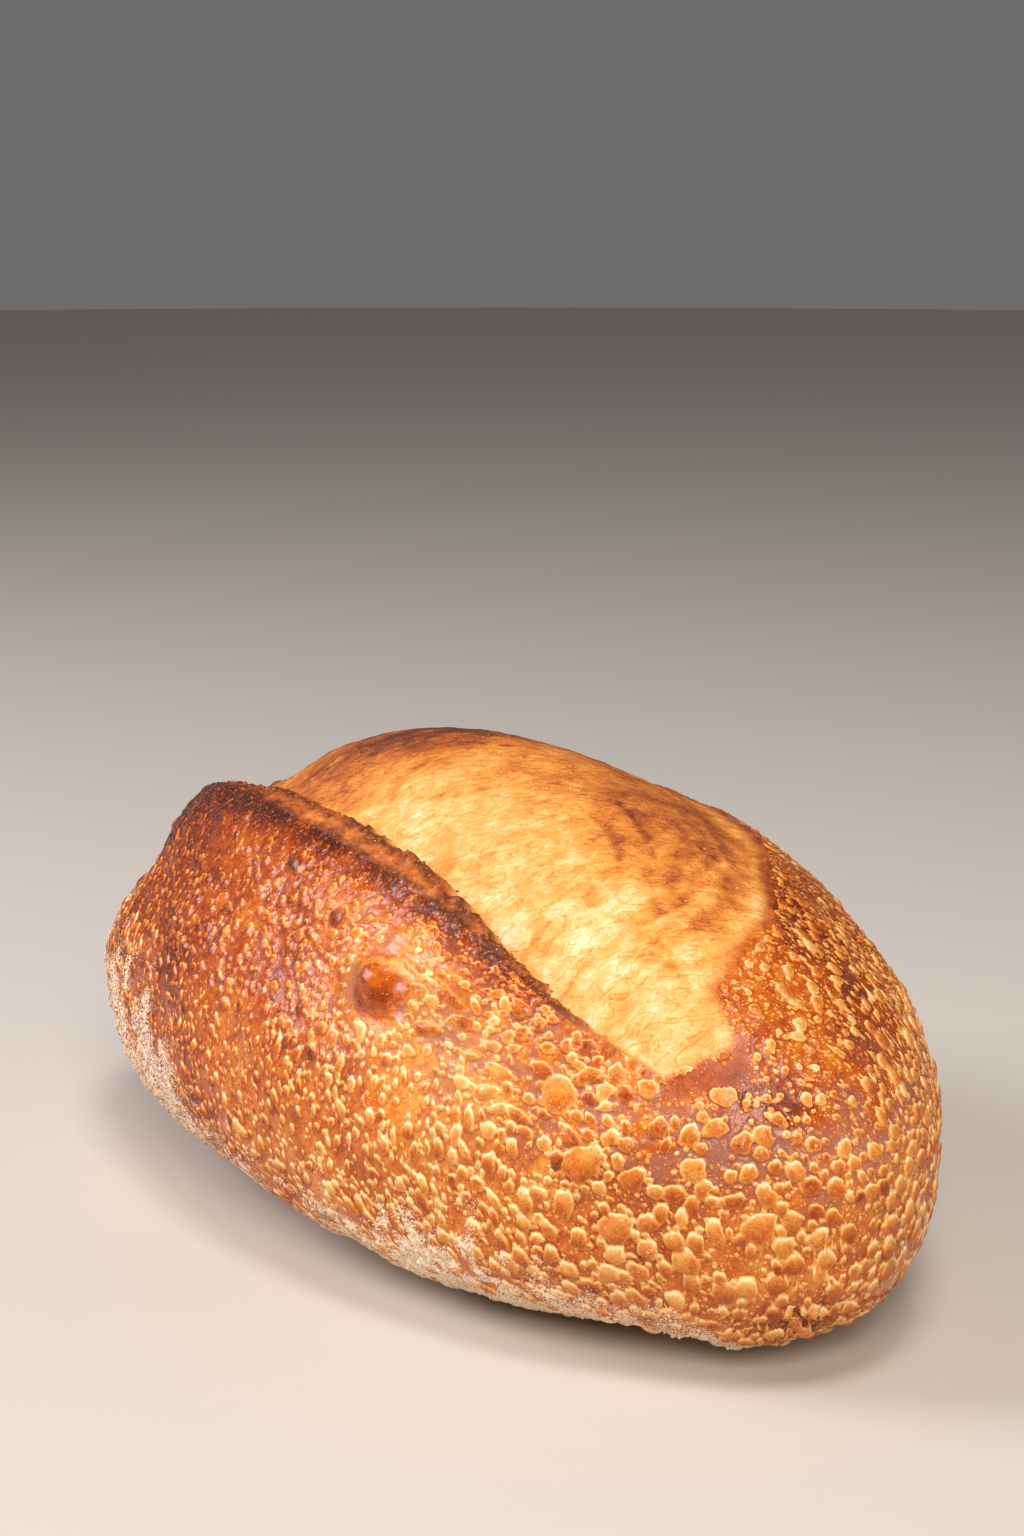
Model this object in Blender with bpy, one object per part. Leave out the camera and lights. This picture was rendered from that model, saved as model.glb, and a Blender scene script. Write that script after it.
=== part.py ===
"""Oval hearth loaf (bâtard) with one long score, a raised ear and an opened bloom.

One closed solid. Metres, +Z up. +X points to the round end with the large blisters,
-Y to the flank that carries the ear. The loaf rests on its flat sole at z = 0.
"""
import math
import random

import bmesh
import bpy
import numpy as np

# The dough body: a superelliptic form, widest at the waist and cut flat by the oven floor.
LENGTH = 0.258
WIDTH = 0.145
CROWN_HEIGHT = 0.1027
WAIST_HEIGHT = 0.0401
SOLE_DEPTH = 1.02           # depth of the rounded underside, as a share of the waist height
PLAN_POWER = 2.03           # roundness of the outline seen from above
END_CONTRAST = 0.16         # how much blunter the far end is than the +X end
CROWN_POWER = 1.05          # how the crown falls towards the ends
KEEL_POWER = 2.65           # how the underside rises towards the ends
ARCH_POWER = 1.895          # roundness of the upper half of a section
BELLY_POWER = 2.52          # roundness of the lower half of a section
WIDTH_TAPER = 0.065         # the far end is wider than the +X end
CROWN_TAPER = 0.037         # and a little lower

# Relief of the score fades in above the waist, and some of its sizes change towards the far end.
SCORE_RISE = 0.005
SCORE_BLEND = 0.020
FAR_START = 0.020
FAR_BLEND = 0.100

# The ear: the lifted edge of the crust along the score.
EAR_OFFSET = 0.0442         # distance of its edge from the loaf's centre line
EAR_MIDDLE = 0.015          # where it stands furthest out
EAR_BOW = 1.23              # curvature of its edge in plan, 1/m
EAR_HOOK_START = 0.075      # past here the edge turns in to the score's tip
EAR_HOOK = 5.6              # 1/m
EAR_LIFT = 0.0036
EAR_LIFT_FAR = 0.0073
EAR_SPREAD = 0.016          # how far down the flank the lift reaches
EAR_NEAR_END = 0.100
EAR_NEAR_FADE = 0.050
EAR_FAR_END = -0.0945
EAR_FAR_FADE = 0.022

# The torn face between the ear's edge and the bloom.
TORN_WIDTH = 0.0062
TORN_NARROW = 0.0020
TORN_TAPER_START = 0.070    # it narrows before here
TORN_TAPER = 0.040
TORN_NEAR_FADE = 0.025
TORN_LEAST = 0.0004
TORN_FALL = 0.35            # share of the lift lost across it
TORN_STEP = 0.003           # width of the drop from it to the bloom

# The bloom: the pale dome that opened out of the score, inside a leaf-shaped rim.
RIM_CENTRE_X = 0.014
RIM_CENTRE_Y = -0.020
RIM_REACH_NEAR = 0.089
RIM_REACH_FAR = 0.108
RIM_HALF_WIDTH = 0.0540
RIM_POWER = 1.95
RIM_BLEND = 0.010
RIM_LIP = 0.0009            # the crust stands this proud along the rim
RIM_LIP_WIDTH = 0.005
BLOOM_SWELL = 0.0060
BLOOM_BLEND = 0.035
BLOOM_PEAK_X = -0.043
BLOOM_PEAK_SPREAD = 0.075
VALLEY_DEPTH = 0.0035       # the hollow along the foot of the torn face
VALLEY_DEPTH_FAR = 0.0050
VALLEY_WIDTH = 0.015
VALLEY_OVERRUN = 0.006      # it runs this far past the rim
VALLEY_BLEND = 0.018

# Broad swells and hollows of the hand-shaped dough, and last the one large bubble under the
# crust: turn from the +X tip and section angle in degrees, radius, height.
UNEVEN = [
    (70, 228, 0.0185, 0.0017),
    (99, 214, 0.0185, -0.0007),
    (44, 241, 0.0155, -0.0022),
    (131, 178, 0.0210, 0.0029),
    (89, 66, 0.0210, -0.0007),
    (65, 46, 0.0210, 0.0008),
    (64, 139, 0.0155, 0.0010),
    (84, 152, 0.0110, -0.0010),
    (70, 149, 0.0065, 0.0017),
]

# Low swellings where gas pushed the crust up, within these ranges of turn and section angle.
SWELLING_COUNT = 46
SWELLING_TURN_COSINES = (-0.95, 0.97)
SWELLING_ANGLES = (math.radians(-230), math.radians(50))
SWELLING_RADIUS = (0.007, 0.012)
SWELLING_HEIGHT = (0.0004, 0.0012)
SWELLING_SEED = 11

# Mesh: cells along the body, across its top and up its sides, and the angles of the four corners.
CELLS_ALONG = 52
CELLS_ACROSS = 30
CELLS_UP = 19
END_TURN = math.radians(40)
CORNER_ANGLES = [math.radians(a) for a in (150, 38, -60, -120, -210)]
EAR_CELLS = 5               # cells between the upper corner and the ear's edge
TORN_CELLS = 2
STEP_CELLS = 1
TORN_CELL_LEAST = 0.0024    # least width of the cells over the torn face
SOLE_SNAP = 0.0005          # points this close to the floor are set on it
SHARP_EDGE = math.radians(50)

CRUST_COLOUR = (0.40, 0.12, 0.025, 1.0)
CRUST_ROUGHNESS = 0.45


def ease(t):
    """Smooth step from 0 to 1 as t goes from 0 to 1."""
    t = np.clip(t, 0.0, 1.0)
    return t * t * (3.0 - 2.0 * t)


def signed_power(value, power):
    return np.sign(value) * np.abs(value) ** power


def station(turn):
    """Place along the body, half width, crown rise and sole drop at a turn from the +X tip."""
    cosine = np.cos(turn)
    sine = np.abs(np.sin(turn))
    power = PLAN_POWER - END_CONTRAST * cosine
    along = signed_power(cosine, 2.0 / power)
    half_width = WIDTH / 2 * sine ** (2.0 / power) * (1.0 - WIDTH_TAPER * along)
    rise = (CROWN_HEIGHT - WAIST_HEIGHT) * sine ** CROWN_POWER
    rise = rise * (1.0 - CROWN_TAPER * (1.0 - along))
    drop = WAIST_HEIGHT * SOLE_DEPTH * (1.0 - (1.0 - sine) ** KEEL_POWER)
    return along * LENGTH / 2, half_width, rise, drop


def body(turn, angle):
    """Point of the plain dough body, and its outward direction."""
    x, half_width, rise, drop = station(turn)
    cosine = np.cos(angle)
    sine = np.sin(angle)
    upper = sine >= 0.0
    power = np.where(upper, ARCH_POWER, BELLY_POWER)
    y = half_width * signed_power(cosine, 2.0 / power)
    z = np.where(upper, rise, drop) * signed_power(sine, 2.0 / power)
    height = np.where(upper, CROWN_HEIGHT - WAIST_HEIGHT, WAIST_HEIGHT)
    out = np.stack([x / (LENGTH / 2) ** 2, y / (WIDTH / 2) ** 2, z / height ** 2], -1)
    out /= np.linalg.norm(out, axis=-1, keepdims=True)
    return np.stack([x, y, z + WAIST_HEIGHT], -1), out


def ear_angle(turn):
    """Section angle of the ear's edge."""
    x, half_width, _, _ = station(turn)
    hook = np.maximum(x - EAR_HOOK_START, 0.0)
    line = EAR_OFFSET - EAR_BOW * (x - EAR_MIDDLE) ** 2 - EAR_HOOK * hook ** 2
    share = np.clip(line / np.maximum(half_width, 1e-6), 0.35, 0.80)
    return math.pi - np.arccos(share ** (ARCH_POWER / 2))


def torn_width(x):
    """Width of the torn face, narrowing towards the +X end."""
    share = ease((TORN_TAPER_START - x) / TORN_TAPER)
    width = TORN_NARROW + (TORN_WIDTH - TORN_NARROW) * share
    return np.maximum(width * ease((EAR_NEAR_END - x) / TORN_NEAR_FADE), TORN_LEAST)


def distance_inside_rim(x, y):
    """Distance from the bloom's rim, positive inside it. The rim is open towards the ear."""
    reach = np.where(x > RIM_CENTRE_X, RIM_REACH_NEAR, RIM_REACH_FAR)
    spread = np.abs((x - RIM_CENTRE_X) / reach) ** RIM_POWER
    spread = spread + (np.maximum(y - RIM_CENTRE_Y, 0.0) / RIM_HALF_WIDTH) ** RIM_POWER
    return (1.0 - spread ** (1.0 / RIM_POWER)) * RIM_HALF_WIDTH


def bubbles(point):
    """Height of the swells, hollows and low swellings at each point."""
    draw = random.Random(SWELLING_SEED)
    places = [(math.radians(turn), math.radians(angle), radius, height)
              for turn, angle, radius, height in UNEVEN]
    for _ in range(SWELLING_COUNT):
        turn = math.acos(draw.uniform(*SWELLING_TURN_COSINES))
        angle = draw.uniform(*SWELLING_ANGLES)
        size = draw.random()
        radius = SWELLING_RADIUS[0] + size * (SWELLING_RADIUS[1] - SWELLING_RADIUS[0])
        height = SWELLING_HEIGHT[0] + size * (SWELLING_HEIGHT[1] - SWELLING_HEIGHT[0])
        places.append((turn, angle, radius, height))
    total = np.zeros(point.shape[:-1])
    for turn, angle, radius, height in places:
        centre, _ = body(np.array(turn), np.array(angle))
        gap = np.linalg.norm(point - centre, axis=-1)
        total = total + height * np.exp(-(gap / radius) ** 2)
    return total


def relief(turn, angle, point):
    """How far ear, torn face, bloom and swellings stand off the plain body."""
    _, half_width, rise, _ = station(turn)
    x = point[..., 0]
    y = point[..., 1]
    top = ease((point[..., 2] - WAIST_HEIGHT - SCORE_RISE) / SCORE_BLEND)
    to_far = ease((FAR_START - x) / FAR_BLEND)
    from_right = np.where(angle < -math.pi / 2, angle + 2 * math.pi, angle)
    across = (ear_angle(turn) - from_right) * (half_width + rise) / 2

    lift = EAR_LIFT + (EAR_LIFT_FAR - EAR_LIFT) * to_far
    lift = lift * ease((EAR_NEAR_END - x) / EAR_NEAR_FADE)
    lift = lift * ease((x - EAR_FAR_END) / EAR_FAR_FADE)
    flank = lift * np.exp(-(across / EAR_SPREAD) ** 2)
    torn = torn_width(x)
    face = lift * (1.0 - TORN_FALL * np.clip(across / torn, 0.0, 1.0))

    to_rim = distance_inside_rim(x, y)
    inside = ease(to_rim / RIM_BLEND)
    peak = np.exp(-((x - BLOOM_PEAK_X) / BLOOM_PEAK_SPREAD) ** 2)
    swell = BLOOM_SWELL * peak * ease(to_rim / BLOOM_BLEND)
    depth = VALLEY_DEPTH + (VALLEY_DEPTH_FAR - VALLEY_DEPTH) * to_far
    depth = depth * ease((to_rim + VALLEY_OVERRUN) / VALLEY_BLEND)
    bloom = swell * inside - depth * np.exp(-((across - torn) / VALLEY_WIDTH) ** 2)

    step = ease((across - torn) / TORN_STEP)
    lip = RIM_LIP * np.exp(-(to_rim / RIM_LIP_WIDTH) ** 2) * step
    height = np.where(across < 0.0, flank, face * (1.0 - step) + bloom * step) + lip
    return height * top + bubbles(point) * (1.0 - step * inside * top)


def top_angle(share, turn):
    """Section angle across the top, bent so that cells follow the ear and the torn face."""
    girth = (WIDTH / 2 + CROWN_HEIGHT - WAIST_HEIGHT) / 2
    edge = ear_angle(turn)
    foot = edge - np.maximum(torn_width(station(turn)[0]), TORN_CELL_LEAST) / girth
    floor = foot - TORN_STEP / girth
    start = np.full_like(turn, CORNER_ANGLES[0])
    end = np.full_like(turn, CORNER_ANGLES[1])
    lines = np.cumsum([0, EAR_CELLS, TORN_CELLS, STEP_CELLS]) / CELLS_ACROSS
    lines = np.append(lines, 1.0)
    angles = [start, edge, foot, floor, end]
    bent = start
    for i in range(len(angles) - 1):
        part = np.clip((share - lines[i]) / (lines[i + 1] - lines[i]), 0.0, 1.0)
        bent = bent + part * (angles[i + 1] - angles[i])
    return bent


def grid_block():
    """A block whose faces are grids: the loaf before its corners are rounded away."""
    mesh = bmesh.new()
    bmesh.ops.create_cube(mesh, size=2.0)
    for axis, cells in ((0, CELLS_ALONG), (1, CELLS_ACROSS), (2, CELLS_UP)):
        edges = [edge for edge in mesh.edges
                 if abs(edge.verts[0].co[axis] - edge.verts[1].co[axis]) > 1e-4]
        bmesh.ops.subdivide_edges(mesh, edges=edges, cuts=cells - 1, use_grid_fill=True)
    return mesh


def block_to_loaf(block):
    """Map points on the block's surface to the loaf."""
    bx, by, bz = block[:, 0], block[:, 1], block[:, 2]
    on_face = 1.0 - 1e-6
    ring = np.maximum(np.abs(by), np.abs(bz))
    cap = END_TURN * ring
    turn = math.pi / 2 - bx * (math.pi / 2 - END_TURN)
    turn = np.select([bx > on_face, bx < -on_face], [cap, math.pi - cap], turn)
    turn = np.clip(turn, 1e-5, math.pi - 1e-5)

    py, pz = by / np.maximum(ring, 1e-9), bz / np.maximum(ring, 1e-9)
    side = np.select([pz > on_face, py > on_face, pz < -on_face], [0, 1, 2], 3)
    share = np.select([side == 0, side == 1, side == 2], [1 + py, 1 - pz, 1 - py], 1 + pz) / 2
    start = np.take(CORNER_ANGLES, side)
    end = np.take(CORNER_ANGLES, side + 1)
    angle = np.where(side == 0, top_angle(share, turn), start + (end - start) * share)
    point, out = body(turn, angle)
    return point + out * relief(turn, angle, point)[:, None]


def centred(points):
    """The points moved so that their box is centred on the Z axis."""
    middle = (points.min(axis=0) + points.max(axis=0)) / 2
    return points - middle * (1, 1, 0)


def cut_sole(mesh):
    """Cut the underside flat where the loaf stood on the oven floor, and close it."""
    everything = mesh.verts[:] + mesh.edges[:] + mesh.faces[:]
    bmesh.ops.bisect_plane(mesh, geom=everything, dist=SOLE_SNAP, plane_co=(0, 0, 0),
                           plane_no=(0, 0, 1), clear_inner=True)
    for vert in mesh.verts:
        if vert.co.z < SOLE_SNAP:
            vert.co.z = 0.0
    rim = [edge for edge in mesh.edges if edge.is_boundary]
    bmesh.ops.holes_fill(mesh, edges=rim)


def loaf_mesh():
    mesh = grid_block()
    block = np.array([vert.co for vert in mesh.verts])
    for vert, place in zip(mesh.verts, centred(block_to_loaf(block))):
        vert.co = place
    cut_sole(mesh)
    bmesh.ops.triangulate(mesh, faces=mesh.faces[:])
    bmesh.ops.recalc_face_normals(mesh, faces=mesh.faces[:])
    data = bpy.data.meshes.new("loaf")
    mesh.to_mesh(data)
    mesh.free()
    data.shade_smooth()
    data.set_sharp_from_angle(angle=SHARP_EDGE)
    return data


def crust_material():
    """Oven-browned crust with a dull gloss."""
    material = bpy.data.materials.new("baked_crust")
    material.use_nodes = True
    shader = material.node_tree.nodes["Principled BSDF"]
    shader.inputs["Base Color"].default_value = CRUST_COLOUR
    shader.inputs["Roughness"].default_value = CRUST_ROUGHNESS
    shader.inputs["Metallic"].default_value = 0.0
    return material


def build():
    for old in list(bpy.data.objects):
        bpy.data.objects.remove(old, do_unlink=True)
    loaf = bpy.data.objects.new("loaf", loaf_mesh())
    loaf.data.materials.append(crust_material())
    bpy.context.scene.collection.objects.link(loaf)


build()
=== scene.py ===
"""Oval hearth loaf: its baked, blistered surface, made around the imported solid. Metres, +Z up."""
import math

import bmesh
import bpy
import numpy as np
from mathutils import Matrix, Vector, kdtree


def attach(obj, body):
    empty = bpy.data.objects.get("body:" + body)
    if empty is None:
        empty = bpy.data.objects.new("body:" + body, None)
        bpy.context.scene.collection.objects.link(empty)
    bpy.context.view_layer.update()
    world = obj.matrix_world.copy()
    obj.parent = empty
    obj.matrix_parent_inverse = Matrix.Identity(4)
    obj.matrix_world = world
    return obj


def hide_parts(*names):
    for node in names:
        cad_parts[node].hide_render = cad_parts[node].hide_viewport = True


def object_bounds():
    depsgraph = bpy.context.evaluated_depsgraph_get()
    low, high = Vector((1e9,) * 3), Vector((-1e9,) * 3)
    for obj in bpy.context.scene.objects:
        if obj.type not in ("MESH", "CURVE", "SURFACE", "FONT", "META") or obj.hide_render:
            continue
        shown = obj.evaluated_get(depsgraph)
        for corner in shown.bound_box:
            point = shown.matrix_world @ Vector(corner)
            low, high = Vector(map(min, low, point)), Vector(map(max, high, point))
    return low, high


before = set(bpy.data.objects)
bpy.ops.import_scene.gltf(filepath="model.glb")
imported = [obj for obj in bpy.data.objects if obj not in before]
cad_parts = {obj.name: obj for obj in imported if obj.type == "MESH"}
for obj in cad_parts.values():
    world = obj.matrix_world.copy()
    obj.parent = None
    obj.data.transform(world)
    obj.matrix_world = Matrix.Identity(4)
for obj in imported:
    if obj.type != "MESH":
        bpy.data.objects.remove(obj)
cad_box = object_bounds()

# ---------------------------------------------------------------------------------------------
# The camera stands at table height, a little above the loaf, and looks at its +X end and at the
# flank with the ear.
CAMERA_AZIMUTH = math.radians(60.0)
CAMERA_DISTANCE = 0.640
CAMERA_HEIGHT = 0.2296
CAMERA_TILT = math.radians(11.56)
CAMERA_LENS_MM = 70.3

camera = bpy.data.objects.new("camera", bpy.data.cameras.new("camera"))
camera.data.lens = CAMERA_LENS_MM
camera.data.sensor_width = 36.0
camera.location = (math.sin(CAMERA_AZIMUTH) * CAMERA_DISTANCE,
                   -math.cos(CAMERA_AZIMUTH) * CAMERA_DISTANCE, CAMERA_HEIGHT)
camera.rotation_euler = (math.pi / 2 - CAMERA_TILT, 0.0, CAMERA_AZIMUTH)
bpy.context.scene.collection.objects.link(camera)
bpy.context.scene.camera = camera
bpy.context.scene.view_settings.view_transform = "Standard"

# ---------------------------------------------------------------------------------------------
# The floor is a plain pale matt board, and isn't part of the loaf. Here stand the helpers that
# every later section uses for its colours and shader nodes.
FLOOR_RADIUS = 4.0
FLOOR_PAPER = "#cfc9c1"


def linear(hex_colour):
    """An sRGB hex colour as linear RGBA."""
    parts = [int(hex_colour[i:i + 2], 16) / 255 for i in (1, 3, 5)]
    return tuple(c / 12.92 if c <= 0.04045 else ((c + 0.055) / 1.055) ** 2.4
                 for c in parts) + (1.0,)


def add_node(tree, kind, inputs=(), stops=(), **settings):
    """A node with its settings, its inputs (values, or the nodes or sockets that feed them) and,
    for a ramp, its stops."""
    made = tree.nodes.new(kind)
    for name, value in settings.items():
        setattr(made, name, value)
    for socket, value in dict(inputs).items():
        if isinstance(value, bpy.types.Node):
            value = value.outputs[0]
        if isinstance(value, bpy.types.NodeSocket):
            tree.links.new(value, made.inputs[socket])
        else:
            made.inputs[socket].default_value = value
    for i, (place, colour) in enumerate(stops):
        if i > 1:
            made.color_ramp.elements.new(place)
        made.color_ramp.elements[i].position = place
        made.color_ramp.elements[i].color = linear(colour)
    return made


def new_material(name):
    """An empty material: its node tree and its Principled BSDF."""
    material = bpy.data.materials.new(name)
    material.use_nodes = True
    return material, material.node_tree, material.node_tree.nodes["Principled BSDF"]


def new_object(name, mesh, material):
    """An object at the origin that shows the mesh in one material."""
    made = bpy.data.objects.new(name, mesh)
    mesh.materials.clear()
    mesh.materials.append(material)
    bpy.context.scene.collection.objects.link(made)
    return made


floor_mesh = bmesh.new()
bmesh.ops.create_circle(floor_mesh, cap_ends=True, segments=96, radius=FLOOR_RADIUS)
floor_data = bpy.data.meshes.new("floor")
floor_mesh.to_mesh(floor_data)
floor_mesh.free()
matt_board, _, floor_shader = new_material("matt_board")
floor_shader.inputs["Base Color"].default_value = linear(FLOOR_PAPER)
floor_shader.inputs["Roughness"].default_value = 0.9
floor_shader.inputs["Specular IOR Level"].default_value = 0.2
floor = new_object("floor", floor_data, matt_board)

# ---------------------------------------------------------------------------------------------
# The light is a soft box overhead, a wider one beside the camera, a window to the left whose
# sheen lies along the flank, and an even, dim room.
ROOM_COLOUR = "#dcd8d6"
ROOM_STRENGTH = 0.22


def add_softbox(name, azimuth, elevation, distance, size, watts, colour):
    """A square area light aimed at the loaf."""
    softbox = bpy.data.objects.new(name, bpy.data.lights.new(name, "AREA"))
    softbox.data.size = size
    softbox.data.energy = watts
    softbox.data.color = linear(colour)[:3]
    turn, rise = math.radians(azimuth), math.radians(elevation)
    softbox.location = (math.sin(turn) * math.cos(rise) * distance,
                        -math.cos(turn) * math.cos(rise) * distance,
                        math.sin(rise) * distance)
    softbox.rotation_euler = (math.pi / 2 - rise, 0.0, turn)
    bpy.context.scene.collection.objects.link(softbox)


add_softbox("overhead", azimuth=70, elevation=66, distance=1.3, size=0.35, watts=7, colour="#fff8f2")
add_softbox("front", azimuth=64, elevation=34, distance=1.7, size=0.6, watts=17, colour="#fff6ec")
add_softbox("window", azimuth=328, elevation=33, distance=1.4, size=0.6, watts=13.5, colour="#f8f6ff")
add_softbox("side", azimuth=138, elevation=12, distance=1.6, size=0.9, watts=3, colour="#fdf6f2")

room = bpy.data.worlds.new("room")
room.use_nodes = True
room.node_tree.nodes["Background"].inputs["Color"].default_value = linear(ROOM_COLOUR)
room.node_tree.nodes["Background"].inputs["Strength"].default_value = ROOM_STRENGTH
bpy.context.scene.world = room

# ---------------------------------------------------------------------------------------------
# The baked crust. Dough shaped by hand into an oval, proved, scored once along its length and
# baked on a hot floor: the body's form first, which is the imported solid's own, then the score's
# relief, the blisters, the folds and the browning, all on one fine mesh that is then parted.
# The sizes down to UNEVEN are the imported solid's own, but for the bubble in its last row, which
# stands a little sharper here.
LENGTH = 0.258
WIDTH = 0.145
CROWN_HEIGHT = 0.1027
WAIST_HEIGHT = 0.0401
SOLE_DEPTH = 1.02
PLAN_POWER = 2.03
END_CONTRAST = 0.16
CROWN_POWER = 1.05
KEEL_POWER = 2.65
ARCH_POWER = 1.895
BELLY_POWER = 2.52
WIDTH_TAPER = 0.065
CROWN_TAPER = 0.037

SCORE_RISE = 0.005
SCORE_BLEND = 0.020
FAR_START = 0.020
FAR_BLEND = 0.100

EAR_OFFSET = 0.0442
EAR_MIDDLE = 0.015
EAR_BOW = 1.23
EAR_HOOK_START = 0.075
EAR_HOOK = 5.6
EAR_LIFT = 0.0036
EAR_LIFT_FAR = 0.0073
EAR_SPREAD = 0.016
EAR_NEAR_END = 0.100
EAR_NEAR_FADE = 0.050
EAR_FAR_END = -0.0945
EAR_FAR_FADE = 0.022

TORN_WIDTH = 0.0062
TORN_NARROW = 0.0020
TORN_TAPER_START = 0.070
TORN_TAPER = 0.040
TORN_NEAR_FADE = 0.025
TORN_LEAST = 0.0004
TORN_FALL = 0.35
TORN_STEP = 0.003

RIM_CENTRE_X = 0.014
RIM_CENTRE_Y = -0.020
RIM_REACH_NEAR = 0.089
RIM_REACH_FAR = 0.108
RIM_HALF_WIDTH = 0.0540
RIM_POWER = 1.95
RIM_BLEND = 0.010
RIM_LIP = 0.0009
RIM_LIP_WIDTH = 0.005
BLOOM_SWELL = 0.0060
BLOOM_BLEND = 0.035
BLOOM_PEAK_X = -0.043
BLOOM_PEAK_SPREAD = 0.075
VALLEY_DEPTH = 0.0035
VALLEY_DEPTH_FAR = 0.0050
VALLEY_WIDTH = 0.015
VALLEY_OVERRUN = 0.006
VALLEY_BLEND = 0.018

# Broad swells and hollows: turn and angle in degrees, radius and height.
UNEVEN = [
    (70, 228, 0.0185, 0.0017),
    (99, 214, 0.0185, -0.0007),
    (44, 241, 0.0155, -0.0022),
    (131, 178, 0.0210, 0.0029),
    (89, 66, 0.0210, -0.0007),
    (65, 46, 0.0210, 0.0008),
    (64, 139, 0.0155, 0.0010),
    (84, 152, 0.0110, -0.0010),
    (70, 149, 0.0055, 0.0022),
]

CELLS = (410, 252, 160)
CROWDING = 0.12              # how much closer the rings of points stand at the +X end
END_TURN = math.radians(40)
CORNER_ANGLES = [math.radians(a) for a in (150, 38, -35, -145, -210)]
TOP_LINES = (0.0, 0.17, 0.235, 0.265, 1.0)   # shares of the top: ear's edge, torn foot, floor


def ease(t):
    """Smooth step from 0 to 1 as t goes from 0 to 1."""
    t = np.clip(t, 0.0, 1.0)
    return t * t * (3.0 - 2.0 * t)


def past(value, edge):
    """How far a value is past an edge, from 0 to 1. An edge is its start and its reach, and a
    negative reach counts downwards."""
    start, reach = edge
    return ease((value - start) / reach)


def around(value, place):
    """How near a value is to a place, 1 at its middle. A place is its middle and its spread."""
    middle, spread = place
    return np.exp(-((value - middle) / spread) ** 2)


def signed_power(value, power):
    """A power that keeps the value's sign."""
    return np.sign(value) * np.abs(value) ** power


def station(turn):
    """Place along the body, half width, crown rise and sole drop at a turn from the +X tip."""
    cosine = np.cos(turn)
    sine = np.abs(np.sin(turn))
    power = PLAN_POWER - END_CONTRAST * cosine
    along = signed_power(cosine, 2.0 / power)
    half_width = WIDTH / 2 * sine ** (2.0 / power) * (1.0 - WIDTH_TAPER * along)
    rise = (CROWN_HEIGHT - WAIST_HEIGHT) * sine ** CROWN_POWER
    rise = rise * (1.0 - CROWN_TAPER * (1.0 - along))
    drop = WAIST_HEIGHT * SOLE_DEPTH * (1.0 - (1.0 - sine) ** KEEL_POWER)
    return along * LENGTH / 2, half_width, rise, drop


def body(turn, angle):
    """Point of the plain dough body, and its outward direction."""
    x, half_width, rise, drop = station(turn)
    cosine = np.cos(angle)
    sine = np.sin(angle)
    upper = sine >= 0.0
    power = np.where(upper, ARCH_POWER, BELLY_POWER)
    y = half_width * signed_power(cosine, 2.0 / power)
    z = np.where(upper, rise, drop) * signed_power(sine, 2.0 / power)
    height = np.where(upper, CROWN_HEIGHT - WAIST_HEIGHT, WAIST_HEIGHT)
    out = np.stack([x / (LENGTH / 2) ** 2, y / (WIDTH / 2) ** 2, z / height ** 2], -1)
    out /= np.linalg.norm(out, axis=-1, keepdims=True)
    return np.stack([x, y, z + WAIST_HEIGHT], -1), out


def ear_angle(turn):
    """Section angle of the ear's edge."""
    x, half_width, _, _ = station(turn)
    hook = np.maximum(x - EAR_HOOK_START, 0.0)
    line = EAR_OFFSET - EAR_BOW * (x - EAR_MIDDLE) ** 2 - EAR_HOOK * hook ** 2
    share = np.clip(line / np.maximum(half_width, 1e-6), 0.35, 0.80)
    return math.pi - np.arccos(share ** (ARCH_POWER / 2))


def torn_width(x):
    """Width of the torn face, narrowing towards the +X end."""
    share = ease((TORN_TAPER_START - x) / TORN_TAPER)
    width = TORN_NARROW + (TORN_WIDTH - TORN_NARROW) * share
    return np.maximum(width * ease((EAR_NEAR_END - x) / TORN_NEAR_FADE), TORN_LEAST)


def distance_inside_rim(x, y):
    """Distance from the bloom's rim, positive inside it. The rim is open towards the ear."""
    reach = np.where(x > RIM_CENTRE_X, RIM_REACH_NEAR, RIM_REACH_FAR)
    spread = np.abs((x - RIM_CENTRE_X) / reach) ** RIM_POWER
    spread = spread + (np.maximum(y - RIM_CENTRE_Y, 0.0) / RIM_HALF_WIDTH) ** RIM_POWER
    return (1.0 - spread ** (1.0 / RIM_POWER)) * RIM_HALF_WIDTH


def grain(points, size, seed):
    """Smooth noise from about -1 to 1, with lumps about size across (one number or three)."""
    lattice = np.random.default_rng(seed).normal(size=(32, 32, 32, 3))
    lattice /= np.linalg.norm(lattice, axis=-1, keepdims=True)
    scaled = points / np.asarray(size) + seed * 0.37
    cell = np.floor(scaled).astype(int)
    part = scaled - cell
    blend = ease(part)
    total = np.zeros(len(points))
    for corner in np.ndindex(2, 2, 2):
        offset = np.array(corner)
        weight = np.prod(np.where(offset, blend, 1.0 - blend), axis=-1)
        x, y, z = ((cell + offset) % 32).T
        total += weight * np.sum(lattice[x, y, z] * (part - offset), axis=-1)
    return total * 1.7


def fine_block():
    """A block whose faces are fine grids, with its corners about to be rounded away."""
    mesh = bmesh.new()
    bmesh.ops.create_cube(mesh, size=2.0)
    for axis, cells in enumerate(CELLS):
        edges = [edge for edge in mesh.edges
                 if abs(edge.verts[0].co[axis] - edge.verts[1].co[axis]) > 1e-4]
        bmesh.ops.subdivide_edges(mesh, edges=edges, cuts=cells - 1, use_grid_fill=True)
    return mesh


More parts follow.
